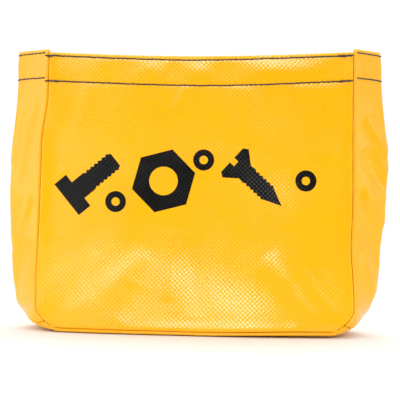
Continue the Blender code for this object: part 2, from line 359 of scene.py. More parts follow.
class Nodes:
    """Short way to write a material's nodes."""

    def __init__(self, name):
        self.material = bpy.data.materials.new(name)
        self.material.use_nodes = True
        self.tree = self.material.node_tree
        self.shader = self.tree.nodes["Principled BSDF"]

    def set(self, **values):
        for key, value in values.items():
            self.shader.inputs[key.replace("_", " ")].default_value = value

    def add(self, kind, **settings):
        node = self.tree.nodes.new(kind)
        for key, value in settings.items():
            setattr(node, key, value)
        return node

    def link(self, source, target):
        self.tree.links.new(source, target)

    def math(self, operation, first, second=None):
        node = self.add("ShaderNodeMath", operation=operation)
        for socket, value in zip(node.inputs, (first, second)):
            if value is None:
                continue
            if isinstance(value, (int, float)):
                socket.default_value = value
            else:
                self.link(value, socket)
        return node.outputs[0]

    def noise(self, scale, detail=2.0, vector=None, roughness=0.5):
        node = self.add("ShaderNodeTexNoise")
        node.inputs["Scale"].default_value = scale
        node.inputs["Detail"].default_value = detail
        node.inputs["Roughness"].default_value = roughness
        self.link(vector if vector is not None else self.place(), node.inputs["Vector"])
        return node.outputs["Fac"]

    def place(self):
        if not hasattr(self, "coordinates"):
            self.coordinates = self.add("ShaderNodeTexCoord")
        return self.coordinates.outputs["Object"]

    def ramp(self, factor, stops):
        node = self.add("ShaderNodeValToRGB")
        elements = node.color_ramp.elements
        while len(elements) < len(stops):
            elements.new(0.5)
        for element, (position, colour) in zip(elements, stops):
            element.position = position
            element.color = (*colour, 1.0)
        self.link(factor, node.inputs["Fac"])
        return node.outputs["Color"]

    def spread(self, factor, low, high, from_low=0.0, from_high=1.0):
        node = self.add("ShaderNodeMapRange")
        node.inputs["From Min"].default_value = from_low
        node.inputs["From Max"].default_value = from_high
        node.inputs["To Min"].default_value = low
        node.inputs["To Max"].default_value = high
        self.link(factor, node.inputs["Value"])
        return node.outputs["Result"]

    def mix(self, factor, first, second):
        node = self.add("ShaderNodeMix", data_type="RGBA")
        for socket, value in ((node.inputs[0], factor), (node.inputs[6], first), (node.inputs[7], second)):
            if isinstance(value, tuple):
                socket.default_value = (*value, 1.0)
            elif isinstance(value, (int, float)):
                socket.default_value = value
            else:
                self.link(value, socket)
        return node.outputs[2]

    def weave(self, pitch):
        """Height of a plain weave, from the UV map in metres: 1 on one thread, 0 on the next."""
        uv = self.add("ShaderNodeUVMap", uv_map="cloth")
        parts = self.add("ShaderNodeSeparateXYZ")
        self.link(uv.outputs["UV"], parts.inputs["Vector"])
        waves = []
        for axis in (0, 1):
            turn = self.math("MULTIPLY", parts.outputs[axis], math.pi / pitch)
            waves.append(self.math("COSINE", turn))
        half = self.math("MULTIPLY", self.math("MULTIPLY", *waves), 0.5)
        return self.math("ADD", half, 0.5)

    def bump(self, height, distance, strength=1.0, normal=None):
        node = self.add("ShaderNodeBump")
        node.inputs["Distance"].default_value = distance
        node.inputs["Strength"].default_value = strength
        self.link(height, node.inputs["Height"])
        if normal is not None:
            self.link(normal, node.inputs["Normal"])
        return node.outputs["Normal"]


def value_of(nodes, name):
    node = nodes.add("ShaderNodeAttribute", attribute_name=name)
    return node.outputs["Fac"]


def vinyl_material():
    """Yellow vinyl over a plain weave that shows through as fine relief; paler where it is folded."""
    n = Nodes("yellow_vinyl")
    n.set(Metallic=0.0, IOR=1.48)
    n.shader.inputs["Specular IOR Level"].default_value = 0.46
    patches = n.noise(26.0, 4.0)
    grain = n.noise(900.0, 3.0)
    base = n.ramp(patches, [(0.30, (0.965, 0.455, 0.0030)), (0.70, (0.985, 0.482, 0.0042))])
    worn = n.math("MULTIPLY", value_of(n, "worn"), n.spread(n.noise(240.0, 4.0), 0.35, 1.0, 0.35, 0.7))
    colour = n.mix(worn, base, (0.98, 0.62, 0.060))
    n.link(colour, n.shader.inputs["Base Color"])
    rough = n.spread(n.noise(60.0, 5.0), 0.15, 0.24, 0.3, 0.7)
    rough = n.math("ADD", rough, n.spread(grain, -0.03, 0.03, 0.3, 0.7))
    n.link(rough, n.shader.inputs["Roughness"])
    weave = n.bump(n.weave(WEAVE_PITCH), 0.062 * MM)
    n.link(n.bump(grain, 0.012 * MM, 1.0, weave), n.shader.inputs["Normal"])
    return n.material


def ink_material():
    """Black ink on the vinyl: a little gloss, and thin on top of the threads."""
    n = Nodes("black_print")
    n.set(Metallic=0.0, IOR=1.5)
    n.shader.inputs["Specular IOR Level"].default_value = 0.22
    specks = n.noise(700.0, 3.0)
    height = n.weave(WEAVE_PITCH)
    thin = n.math("MULTIPLY", n.spread(height, 0.0, 1.0, 0.75, 1.0), n.spread(specks, 0.0, 1.0, 0.55, 0.75))
    colour = n.mix(thin, (0.0055, 0.0050, 0.0048), (0.030, 0.024, 0.016))
    n.link(colour, n.shader.inputs["Base Color"])
    n.link(n.spread(n.noise(80.0, 4.0), 0.18, 0.27, 0.3, 0.7), n.shader.inputs["Roughness"])
    weave = n.bump(height, 0.06 * MM)
    n.link(n.bump(specks, 0.01 * MM, 1.0, weave), n.shader.inputs["Normal"])
    return n.material


def thread_material():
    """Dark brown sewing thread, twisted from fine fibres."""
    n = Nodes("hem_thread")
    n.set(Metallic=0.0, Roughness=0.62)
    n.shader.inputs["Sheen Weight"].default_value = 0.25
    fibres = n.noise(2600.0, 2.0)
    n.link(n.ramp(fibres, [(0.3, (0.012, 0.007, 0.004)), (0.7, (0.040, 0.022, 0.012))]),
           n.shader.inputs["Base Color"])
    n.link(n.bump(fibres, 0.04 * MM), n.shader.inputs["Normal"])
    return n.material


yellow_vinyl = vinyl_material()
black_print = ink_material()
hem_thread = thread_material()


# Panels

def allowance_share(z):
    """How much of the seam allowance is left at height z: it is trimmed towards the mouth."""
    return 1.0 - ALLOWANCE_TRIM * smooth_rise(z, TRIM_START, TRIM_END)


def seam_columns():
    """Stations across a panel: share of the width, turn of the rolled edge and depth of allowance."""
    face = np.linspace(-1.0, 1.0, int(2.0 * PANEL_HALF_WIDTH / GRID) + 1)
    turns = np.radians([15.0, 30.0, 45.0, 60.0, 75.0, 90.0])
    deep = np.array([0.3, 1.0]) * ALLOWANCE
    return face, turns, deep


def panel_sheet(name, side, material):
    """One panel of cloth: face, rolled seam edges with their allowances, rolled foot and turned hem."""
    face, turns, deep = seam_columns()
    lip = HEM_THICKNESS / 2.0
    lip_turns = np.radians([10.0, 25.0, 40.0, 55.0, 70.0, 82.0])
    rows = []
    for reach in deep[::-1]:
        rows.append((0.0, 90.0, reach * FOOT_ALLOWANCE_SHARE, 0.0))
    for turn in np.degrees(turns)[::-1]:
        rows.append((0.0, turn, 0.0, 0.0))
    coarse = np.linspace(0.0, 1.0, 128)
    for share in coarse * 0.885:
        rows.append((share, 0.0, 0.0, 0.0))
    for share in np.linspace(0.885, 1.0, 26)[1:]:
        rows.append((share, 0.0, 0.0, 0.0))
    for turn in lip_turns:
        rows.append((1.0, 0.0, 0.0, turn))
    columns = []
    for reach in deep[::-1]:
        columns.append((-1.0, math.radians(90.0), reach))
    for turn in turns[::-1]:
        columns.append((-1.0, turn, 0.0))
    for share in face:
        columns.append((share, 0.0, 0.0))
    for turn in turns:
        columns.append((1.0, turn, 0.0))
    for reach in deep:
        columns.append((1.0, math.radians(90.0), reach))
    across = np.array([c[0] for c in columns])
    turn_x = np.array([c[1] for c in columns])
    deep_x = np.array([c[2] for c in columns])
    outer, inner, uvs, worn = [], [], [], []
    for share, foot_turn, foot_deep, lip_turn in rows:
        foot_turn = math.radians(foot_turn)
        end = np.where(across < 0.0, -PANEL_HALF_WIDTH, PANEL_HALF_WIDTH)
        foot = foot_height(np.abs(across) * end) + PANEL_ROLL
        top = mouth_height(across) - lip
        z = foot + share * (top - foot)
        x, depth = panel_height(side, across * 0.999999, z)
        # shrink the face so that the rolled edge ends on the seam line
        width = np.where(across < 0.0, seam_width(LEFT, z), seam_width(RIGHT, z))
        x = x * (width - PANEL_ROLL) / width
        sign = np.where(across < 0.0, -1.0, 1.0)
        normal_x = sign * np.sin(turn_x)
        normal_y = np.cos(turn_x)
        normal_z = -math.sin(foot_turn)
        drop = PANEL_ROLL * (1.0 - math.cos(foot_turn)) + foot_deep
        z_now = z - PANEL_ROLL * math.sin(foot_turn)
        z_now = z_now + lip * math.sin(lip_turn)
        lip_in = lip * (1.0 - math.cos(lip_turn))
        thick = WALL
        if share * (MOUTH_MIDDLE - foot_height(0.0)) > MOUTH_MIDDLE - foot_height(0.0) - HEM_DEPTH:
            thick = HEM_THICKNESS
        radius = PANEL_ROLL - lip_in
        x_out = x + sign * radius * np.sin(turn_x)
        deep_here = deep_x * allowance_share(z)
        y_out = depth - drop - lip_in - radius * (1.0 - np.cos(turn_x)) - deep_here
        thin = thick - 2.0 * lip_in if lip_turn else thick
        wall_y = normal_y * thin * math.cos(foot_turn)
        x_in = x_out - normal_x * thin
        y_in = y_out - wall_y
        z_in = z_now - normal_z * thin * np.cos(turn_x)
        outer.append(np.stack([x_out, side * y_out, z_now], -1))
        inner.append(np.stack([x_in, side * y_in, z_in], -1))
        length = PANEL_ROLL * turn_x + deep_here
        uvs.append(np.stack([x + sign * length, z_now - foot_deep], -1))
        edge = hump(mouth_height(across) - z_now, 0.0, 1.3 * MM)
        rolled = np.clip(np.sin(2.0 * turn_x), 0.0, 1.0)
        worn.append(np.clip(0.8 * edge + 0.5 * rolled, 0.0, 1.0))
    values = {"worn": np.array(worn)}
    return closed_sheet(name, np.array(outer), np.array(inner), np.array(uvs), material, values)


front_cloth = panel_sheet("front_cloth", FRONT, yellow_vinyl)
back_cloth = panel_sheet("back_cloth", BACK, yellow_vinyl)


# Gussets

# Distance of each side gusset's crease from the middle plane of the pouch, by height, in mm
CREASES = {
    LEFT: [(16, 114.6), (24, 117.8), (45, 119.2), (85, 121.4), (116, 120.6), (148, 117.4), (178, 117.0)],
    RIGHT: [(16, 110.6), (27, 116.4), (50, 118.4), (98, 122.2), (118, 121.6), (152, 117.6), (178, 116.2)],
}
CORNER_BULGE = {LEFT: 4.2 * MM, RIGHT: 3.2 * MM}


def softened(values, reach):
    """Running average, with the ends held."""
    window = np.ones(2 * reach + 1) / (2 * reach + 1)
    return np.convolve(np.pad(values, reach, mode="edge"), window, mode="valid")


def gusset_line(flank):
    """The seam line of one side, from the mouth down and round the corner to the middle of the foot:
    for each station its place, the way to the crease, half depth, crease reach and flatness."""
    foot = float(foot_height(flank * PANEL_HALF_WIDTH))
    top = float(mouth_height(flank)) + GUSSET_TOP_LIFT
    heights = np.linspace(top, foot + CORNER_UP, 150)
    outer = np.array(CREASES[flank]) * MM
    crease_x = softened(np.interp(heights, outer[:, 0], outer[:, 1]), 8)
    x = list(seam_width(flank, heights))
    z = list(heights)
    to_x = list(crease_x)
    to_z = list(heights)
    start = np.array([crease_x[-1], heights[-1]])
    inner_x = float(side_width(flank, foot)) - CORNER_ACROSS
    end = np.array([inner_x + 0.5 * MM, 0.35 * MM])
    chord = end - start
    square = np.array([-chord[1], chord[0]]) / np.hypot(*chord)
    for turn in np.linspace(0.0, 1.0, 46)[1:]:
        angle = math.radians(90.0 * turn)
        round_x = math.cos(angle) ** (2.0 / CORNER_POWER) if turn < 1.0 else 0.0
        round_z = math.sin(angle) ** (2.0 / CORNER_POWER)
        height = foot + CORNER_UP * (1.0 - round_z)
        x.append(float(side_width(flank, height)) - CORNER_ACROSS * (1.0 - round_x))
        z.append(height)
        target = start + chord * turn + square * CORNER_BULGE[flank] * 4.0 * turn * (1.0 - turn)
        to_x.append(float(target[0]))
        to_z.append(max(float(target[1]), 0.35 * MM))
    for place in np.linspace(x[-1], 0.0, 60)[1:]:
        x.append(place)
        z.append(float(foot_height(flank * place)))
        to_x.append(place)
        to_z.append(0.35 * MM)
    x, z, to_x, to_z = (np.array(v) for v in (x, z, to_x, to_z))
    step = np.hypot(np.diff(x), np.diff(z))
    length = np.concatenate([[0.0], np.cumsum(step)])
    reach = np.hypot(to_x - x, to_z - z)
    return {
        "length": length, "x": x, "z": z, "out_x": (to_x - x) / reach, "out_z": (to_z - z) / reach,
        "depth": half_depth(z) + np.where(z < foot + 0.01 * MM, bow(x / inner_x), 0.0), "reach": reach,
        "flatness": 1.0 + 7.0 * (1.0 - smooth_rise(z, foot, foot + 12.0 * MM)),
        "nose": np.full_like(x, NOSE_BACK[flank]),
    }


def gusset_section(reach, depth, flatness, nose, allowance, share):
    """Half a gusset's cross-section, from its crease (share 0) to the end of its seam allowance
    (share 3): stand-out from the seam line, distance from the middle plane, and their normal."""
    soft = 1.6 * MM
    centre_r = SEAM_GAP + GUSSET_ROLL
    centre_y = depth - nose - GUSSET_ROLL
    end_r = centre_r
    end_y = centre_y + GUSSET_ROLL

    def bend(y):
        return np.sqrt(y ** 2 + soft ** 2) - soft

    for _ in range(4):
        rate = (reach - end_r) * flatness * (end_y / np.sqrt(end_y ** 2 + soft ** 2)) / bend(end_y)
        lean = np.arctan2(1.0, rate)
        end_r = centre_r + GUSSET_ROLL * np.sin(lean)
        end_y = centre_y + GUSSET_ROLL * np.cos(lean)
    on_face = np.clip(share, 0.0, 1.0)
    y = end_y * on_face
    part = bend(y) / bend(end_y)
    r = end_r + (reach - end_r) * (1.0 - part ** flatness)
    slope = (reach - end_r) * flatness * np.maximum(part, 1e-9) ** (flatness - 1.0)
    slope = slope * (y / np.sqrt(y ** 2 + soft ** 2)) / bend(end_y)
    size = np.sqrt(1.0 + slope ** 2)
    normal_r = 1.0 / size
    normal_y = slope / size
    in_roll = np.clip(share - 1.0, 0.0, 1.0)
    angle = lean - in_roll * (lean + math.pi / 2.0)
    rolling = share > 1.0
    r = np.where(rolling, centre_r + GUSSET_ROLL * np.sin(angle), r)
    y = np.where(rolling, centre_y + GUSSET_ROLL * np.cos(angle), y)
    normal_r = np.where(rolling, np.sin(angle), normal_r)
    normal_y = np.where(rolling, np.cos(angle), normal_y)
    beyond = np.clip(share - 2.0, 0.0, 1.0) * allowance
    y = y - beyond
    return r, y, normal_r, normal_y


def gusset_waves(flank, place, across):
    """Soft folds of a side gusset. place is the distance down from the mouth, in mm, and across the
    distance from the crease, in mm, negative on the front half."""
    lift = np.zeros_like(place)
    if flank == RIGHT:
        lines = [
            ((-18.0, 40.0), (0.0, 66.0), 5.0, 1.4),
            ((-20.0, 62.0), (-2.0, 92.0), 5.0, -1.4),
            ((-20.0, 86.0), (0.0, 112.0), 5.0, 1.5),
            ((-18.0, 110.0), (-2.0, 136.0), 5.0, -1.4),
            ((-20.0, 128.0), (0.0, 160.0), 5.0, 1.2),
            ((18.0, 50.0), (2.0, 80.0), 6.0, 1.4),
            ((18.0, 90.0), (2.0, 130.0), 6.0, -1.4),
        ]
    else:
        lines = [
            ((-16.0, 26.0), (-6.0, 90.0), 6.0, -1.0),
            ((-20.0, 90.0), (-3.0, 128.0), 6.0, 1.2),
            ((-20.0, 122.0), (-2.0, 158.0), 5.0, -1.2),
            ((18.0, 40.0), (3.0, 76.0), 6.0, 1.2),
            ((18.0, 96.0), (2.0, 132.0), 6.0, -1.4),
        ]
    for start, end, spread, height in lines:
        lift += fold(across, place, start, end, spread, height * MM)
    return lift


def gusset_points(flank, line, place, share, out=0.0):
    """Points on a gusset's outer face. place is the distance along the seam line from the mouth, and
    share is as in gusset_section but negative on the front half."""
    got = {key: np.interp(place, line["length"], value) for key, value in line.items()}
    allowance = ALLOWANCE * allowance_share(got["z"])
    r, y, normal_r, normal_y = gusset_section(
        got["reach"], got["depth"], got["flatness"], got["nose"], allowance, np.abs(share)
    )
    side = np.where(share < 0.0, FRONT, BACK)
    on_face = np.clip(1.0 - np.abs(share), 0.0, 1.0)
    fade = smooth_rise(on_face, 0.0, 0.3)
    crease = GUSSET_HALF * np.clip(share, -1.0, 1.0)
    standing = smooth_rise(got["z"], 6.0 * MM, 22.0 * MM)
    lift = gusset_waves(flank, place / MM, crease / MM) * fade * standing
    rows = hump(place, UPPER_ROW_DROP, 0.8 * MM) + hump(place, LOWER_ROW_DROP, 1.1 * MM)
    puff = 0.35 * MM * hump(place, 10.0 * MM, 5.5 * MM)
    lift = lift + (puff - 0.3 * MM * rows) * np.clip(on_face * 6.0, 0.0, 1.0)
    r = r + normal_r * (lift + out)
    y = y + normal_y * (lift + out)
    x = flank * (got["x"] + got["out_x"] * r)
    z = got["z"] + got["out_z"] * r
    normal = np.stack([flank * got["out_x"] * normal_r, side * normal_y, got["out_z"] * normal_r], -1)
    return np.stack([x, side * y, z], -1), normal


def gusset_sheet(name, flank, line, first, last, at_mouth, material):
    """A gusset's cloth between two places on its seam line; its upper end is a hem, and every other
    end is rolled in to a seam."""
    lip = HEM_THICKNESS / 2.0
    roll = 0.9 * MM
    rows = []
    if at_mouth:
        for turn in np.radians([82.0, 70.0, 55.0, 40.0, 25.0, 10.0]):
            rows.append((first + lip * (1.0 - math.sin(turn)), lip * (1.0 - math.cos(turn)), HEM_THICKNESS))
        first = first + lip
    else:
        rows.append((first, roll + 2.0 * MM, WALL))
        for turn in np.radians([90.0, 65.0, 40.0, 20.0]):
            rows.append((first + roll * (1.0 - math.sin(turn)), roll * (1.0 - math.cos(turn)), WALL))
        first = first + roll
    end = last - roll
    for place in np.linspace(first, end, int((end - first) / GRID)):
        rows.append((place, 0.0, HEM_THICKNESS if at_mouth and place < HEM_DEPTH else WALL))
    for turn in np.radians([20.0, 40.0, 65.0, 90.0]):
        rows.append((end + roll * math.sin(turn), roll * (1.0 - math.cos(turn)), WALL))
    rows.append((last, roll + 2.0 * MM, WALL))
    half = list(np.linspace(0.0, 1.0, 24)) + [1.15, 1.3, 1.45, 1.6, 1.75, 1.9, 2.0, 2.3, 3.0]
    share = np.array([-s for s in half[:0:-1]] + half)
    outer, inner, uvs, worn = [], [], [], []
    for place, inset, thick in rows:
        where = np.full_like(share, place)
        skin, normal = gusset_points(flank, line, where, share)
        thin = thick
        if at_mouth and place < lip * 1.001:
            thin = thick - 2.0 * inset
        outer.append(skin - normal * inset)
        inner.append(skin - normal * (inset + thin))
        run = np.sign(share) * np.minimum(np.abs(share), 3.0) * GUSSET_HALF
        uvs.append(np.stack([run, where], -1))
        creased = hump(share, 0.0, 0.05)
        edge = hump(place, 0.0, 1.3 * MM) if at_mouth else 0.0
        worn.append(np.clip(0.9 * edge + 0.45 * creased, 0.0, 1.0))
    values = {"worn": np.array(worn)}
    return closed_sheet(name, np.array(outer), np.array(inner), np.array(uvs), material, values)


lines = {flank: gusset_line(flank) for flank in (LEFT, RIGHT)}


def corner_place(flank, share):
    """Place on the seam line part of the way round the lower corner."""
    line = lines[flank]
    foot = float(foot_height(flank * PANEL_HALF_WIDTH))
    height = foot + CORNER_UP * (1.0 - math.sin(math.radians(90.0 * share)) ** (2.0 / CORNER_POWER))
    order = np.argsort(-line["z"][:195])
    return float(np.interp(-height, -line["z"][:195][order], line["length"][:195][order]))


CORNER_SEAM_SHARE = 0.55
left_corner = corner_place(LEFT, CORNER_SEAM_SHARE)
right_corner = corner_place(RIGHT, CORNER_SEAM_SHARE)
left_cloth = gusset_sheet("left_gusset_cloth", LEFT, lines[LEFT], 0.0, left_corner, True, yellow_vinyl)
right_cloth = gusset_sheet("right_gusset_cloth", RIGHT, lines[RIGHT], 0.0, right_corner, True, yellow_vinyl)


def bottom_sheet(name, material):
    """The bottom gusset, from corner seam to corner seam."""
    half = list(np.linspace(0.0, 1.0, 24)) + [1.15, 1.3, 1.45, 1.6, 1.75, 1.9, 2.0, 2.3, 3.0]
    share = np.array([-s for s in half[:0:-1]] + half)
    roll = 0.9 * MM
    outer, inner, uvs, worn = [], [], [], []

    def add_row(flank, place, inset):
        where = np.full_like(share, place)
        skin, normal = gusset_points(flank, lines[flank], where, share)
        outer.append(skin - normal * inset)
        inner.append(skin - normal * (inset + WALL))
        run = np.sign(share) * np.abs(share) * GUSSET_HALF
        uvs.append(np.stack([run, flank * where], -1))
        worn.append(np.zeros_like(share))

    for flank in (LEFT, RIGHT):
        start = corner_place(flank, CORNER_SEAM_SHARE)
        end = lines[flank]["length"][-1]
        stations = [(start, roll + 2.0 * MM)]
        for turn in np.radians([90.0, 65.0, 40.0, 20.0]):
            stations.append((start + roll * (1.0 - math.sin(turn)), roll * (1.0 - math.cos(turn))))
        for place in np.linspace(start + roll, end, 72):
            stations.append((place, 0.0))
        if flank == RIGHT:
            stations = stations[-2::-1]
        for place, inset in stations:
            add_row(flank, place, inset)
    values = {"worn": np.array(worn)}
    return closed_sheet(name, np.array(outer), np.array(inner), np.array(uvs), material, values)


bottom_cloth = bottom_sheet("bottom_gusset_cloth", yellow_vinyl)


# Printed marks

MARK_CENTRE_Z = 95.5 * MM
BOLT_TILT = 130.0
SCREW_TILT = 48.0
NUT_TILT = 15.0
BOLT_X = -66.0 * MM
NUT_X = -20.0 * MM
SCREW_X = 38.0 * MM
WASHERS = {
    "left": (-50.0 * MM, 82.0 * MM),
    "middle": (5.0 * MM, 109.0 * MM),
    "right": (69.0 * MM, 97.0 * MM),
}
WASHER_RADIUS = 6.6 * MM
WASHER_BORE = 2.7 * MM
NUT_RADIUS = 20.5 * MM
NUT_BORE = 9.0 * MM
INK = 0.06 * MM
MARK_REACH = 24.0 * MM
INK_GAP = 0.012 * MM


def turned(outline, degrees):
    angle = math.radians(degrees)
    return [
        (x * math.cos(angle) - z * math.sin(angle), x * math.sin(angle) + z * math.cos(angle))
        for x, z in outline
    ]


def ring_of_points(radius, count):
    return [
        (radius * math.cos(math.tau * step / count), radius * math.sin(math.tau * step / count))
        for step in range(count)
    ]


def mirrored_outline(half):
    """Closed outline from its right half, listed from top to bottom."""
    return half + [(-x, z) for x, z in reversed(half) if x > 0.0]


def threaded_side(half, start, end, pitch):
    """Right side of a threaded shank, from its upper end down: crests and roots in turn."""
    points = []
    count = round((start - end) / pitch)
    for turn in range(count):
        points.append((half, start - (turn + 0.25) * pitch))
        points.append((half - 1.1 * MM, start - (turn + 0.75) * pitch))
    return points


def bolt_outline():
    """Threaded bolt, head up before it is turned."""
    head_half, shank_half = 12.5 * MM, 6.4 * MM
    top, neck, thread_start, end = 20.0 * MM, 10.5 * MM, 2.0 * MM, -20.0 * MM
    half = [(head_half, top), (head_half, neck), (shank_half, neck)]
    half += threaded_side(shank_half, thread_start, end, 3.1 * MM)
    half += [(shank_half - 1.6 * MM, end)]
    return turned(mirrored_outline(half), BOLT_TILT)


def screw_outline():
    """Slotted countersunk screw, point down before it is turned."""
    head_half, shank_half = 12.0 * MM, 5.8 * MM
    top, rim, neck, taper, tip = 20.5 * MM, 17.5 * MM, 9.5 * MM, -11.5 * MM, -21.5 * MM
    half = [(2.0 * MM, rim - 0.5 * MM), (2.0 * MM, top), (head_half - 2.0 * MM, top), (head_half, rim)]
    half += [(shank_half - 0.4 * MM, neck)]
    half += threaded_side(shank_half, 6.5 * MM, taper, 3.0 * MM)
    half += [(0.0, tip)]
    return turned(mirrored_outline(half), SCREW_TILT)


def ink_mark(name, centre_x, centre_z, outline, hole=None):
    """A layer of ink that follows the front panel, cut to an outline."""
    flat = bmesh.new()
    edges = []
    for ring in [outline] + ([hole] if hole else []):
        corners = [flat.verts.new((centre_x + x, 0.0, centre_z + z)) for x, z in ring]
        for here, there in zip(corners, corners[1:] + corners[:1]):
            edges.append(flat.edges.new((here, there)))
    bmesh.ops.triangle_fill(flat, edges=edges, use_beauty=True, normal=(0.0, -1.0, 0.0))
    for axis, centre in ((0, centre_x), (2, centre_z)):
        for step in np.arange(-MARK_REACH, MARK_REACH, GRID):
            point = [0.0, 0.0, 0.0]
            point[axis] = centre + step
            direction = [0.0, 0.0, 0.0]
            direction[axis] = 1.0
            every = flat.verts[:] + flat.edges[:] + flat.faces[:]
            bmesh.ops.bisect_plane(flat, geom=every, plane_co=point, plane_no=direction, dist=1e-7)
    flat.verts.index_update()
    place = np.array([v.co for v in flat.verts])
    faces = [[v.index for v in f.verts] for f in flat.faces]
    open_edges = [e for e in flat.edges if len(e.link_faces) == 1]
    rim = [(e.verts[0].index, e.verts[1].index, e.link_faces[0]) for e in open_edges]
    rim_pairs = []
    for a, b, face in rim:
        order = [v.index for v in face.verts]
        first = order.index(a)
        forward = order[(first + 1) % len(order)] == b
        rim_pairs.append((a, b) if forward else (b, a))
    flat.free()
    here, normal, _ = panel_frame(FRONT, place[:, 0], place[:, 2])
    count = len(place)
    outer = here + normal * INK
    inner = here + normal * INK_GAP
    points = np.concatenate([outer, inner])
    sample = np.array([outer[i] for i in faces[0][:3]])
    facing = np.cross(sample[1] - sample[0], sample[2] - sample[0])[1] < 0.0
    if not facing:
        faces = [f[::-1] for f in faces]
        rim_pairs = [(b, a) for a, b in rim_pairs]
    whole = list(faces) + [[i + count for i in f[::-1]] for f in faces]
    whole += [[b, a, a + count, b + count] for a, b in rim_pairs]
    uv = np.stack([place[:, 0], place[:, 2]], -1)
    return add_mesh(name, points, whole, black_print, np.concatenate([uv, uv]))


marks = {
    "print_bolt": ink_mark("ink_bolt", BOLT_X, MARK_CENTRE_Z, bolt_outline()),
    "print_nut": ink_mark(
        "ink_nut", NUT_X, MARK_CENTRE_Z, turned(ring_of_points(NUT_RADIUS, 6), NUT_TILT),
        ring_of_points(NUT_BORE, 48),
    ),
    "print_screw": ink_mark("ink_screw", SCREW_X, MARK_CENTRE_Z, screw_outline()),
}
for word, (x, z) in WASHERS.items():
    marks[f"print_{word}_washer"] = ink_mark(
        f"ink_{word}_washer", x, z, ring_of_points(WASHER_RADIUS, 40), ring_of_points(WASHER_BORE, 24)
    )


# Stitches: one low arch of thread, set along each row by Geometry Nodes

def stitch_tree():
    """Puts an arch of thread on every point of a mesh, along its attribute 'along' and standing out
    along its attribute 'out'."""
    tree = bpy.data.node_groups.new("stitch_row", "GeometryNodeTree")
    tree.interface.new_socket("Geometry", in_out="INPUT", socket_type="NodeSocketGeometry")
    sizes = {"Stitch Length": 3.0 * MM, "Thread Radius": 0.3 * MM, "Arch Height": 0.2 * MM}
    for label, value in sizes.items():
        socket = tree.interface.new_socket(label, in_out="INPUT", socket_type="NodeSocketFloat")
        socket.default_value = value
    tree.interface.new_socket("Material", in_out="INPUT", socket_type="NodeSocketMaterial")
    tree.interface.new_socket("Geometry", in_out="OUTPUT", socket_type="NodeSocketGeometry")

    def add(kind, **settings):
        node = tree.nodes.new(kind)
        for key, value in settings.items():
            setattr(node, key, value)
        return node

    def link(source, target):
        tree.links.new(source, target)

    def times(source, factor):
        node = add("ShaderNodeMath", operation="MULTIPLY")
        link(source, node.inputs[0])
        node.inputs[1].default_value = factor
        return node.outputs[0]

    given = add("NodeGroupInput")
    length = given.outputs["Stitch Length"]
    arch = add("GeometryNodeCurveQuadraticBezier")
    arch.inputs["Resolution"].default_value = 6
    for corner, along, rise in (("Start", -0.5, -1.6), ("Middle", 0.0, 3.2), ("End", 0.5, -1.6)):
        place = add("ShaderNodeCombineXYZ")
        link(times(length, along), place.inputs["X"])
        link(times(given.outputs["Arch Height"], rise), place.inputs["Z"])
        link(place.outputs[0], arch.inputs[corner])
    ring = add("GeometryNodeCurvePrimitiveCircle")
    ring.inputs["Resolution"].default_value = 6
    link(given.outputs["Thread Radius"], ring.inputs["Radius"])
    tube = add("GeometryNodeCurveToMesh")
    tube.inputs["Fill Caps"].default_value = True
    link(arch.outputs[0], tube.inputs["Curve"])
    link(ring.outputs[0], tube.inputs["Profile Curve"])
    copies = add("GeometryNodeInstanceOnPoints")
    link(given.outputs["Geometry"], copies.inputs["Points"])
    link(tube.outputs[0], copies.inputs["Instance"])
    turns = []
    for label, axis in (("out", "Z"), ("along", "X")):
        wanted = add("GeometryNodeInputNamedAttribute", data_type="FLOAT_VECTOR")
        wanted.inputs["Name"].default_value = label
        turn = add("FunctionNodeAlignRotationToVector", axis=axis)
        if turns:
            turn.pivot_axis = "Z"
            link(turns[-1].outputs[0], turn.inputs["Rotation"])
        link(wanted.outputs["Attribute"], turn.inputs["Vector"])
        turns.append(turn)
    link(turns[-1].outputs[0], copies.inputs["Rotation"])
    real = add("GeometryNodeRealizeInstances")
    link(copies.outputs[0], real.inputs[0])
    smooth = add("GeometryNodeSetShadeSmooth")
    link(real.outputs[0], smooth.inputs[0])
    finish = add("GeometryNodeSetMaterial")
    link(given.outputs["Material"], finish.inputs["Material"])
    link(smooth.outputs[0], finish.inputs["Geometry"])
    given_out = add("NodeGroupOutput")
    link(finish.outputs[0], given_out.inputs[0])
    return tree


STITCHES = stitch_tree()


def stitched(name, places, along, out, length, radius=THREAD / 2.0, arch=0.16 * MM, material=hem_thread):
    """One mesh of stitches at the given places."""
    mesh = bpy.data.meshes.new(name)
    mesh.from_pydata([tuple(p) for p in places], [], [])
    for label, value in (("along", along), ("out", out)):
        attribute = mesh.attributes.new(label, "FLOAT_VECTOR", "POINT")
        attribute.data.foreach_set("vector", np.asarray(value, np.float32).ravel())
    seeds = bpy.data.objects.new(name + "_points", mesh)
    bpy.context.scene.collection.objects.link(seeds)
    rule = seeds.modifiers.new("stitches", "NODES")
    rule.node_group = STITCHES
    sizes = {"Stitch Length": length, "Thread Radius": radius, "Arch Height": arch, "Material": material}
    for item in STITCHES.interface.items_tree:
        if item.in_out == "INPUT" and item.name in sizes:
            rule[item.identifier] = sizes[item.name]
    seeds.update_tag()
    bpy.context.view_layer.update()
    made = bpy.data.meshes.new_from_object(seeds.evaluated_get(bpy.context.evaluated_depsgraph_get()))
    made.name = name
    bpy.data.objects.remove(seeds, do_unlink=True)
    obj = bpy.data.objects.new(name, made)
    bpy.context.scene.collection.objects.link(obj)
    return obj


def row_stations(start, end, rng):
    """Middles of the stitches along a row, with small uneven steps, and a back-tack at each end."""
    places = list(np.arange(start + 0.5 * STITCH_PITCH, end, STITCH_PITCH))
    places = [place + rng.uniform(-0.12, 0.12) * MM for place in places]
    for edge, way in ((start, 1.0), (end, -1.0)):
        for back in range(5):
            places.append(edge + way * (0.9 + 1.55 * back) * MM)
    return np.array(places)


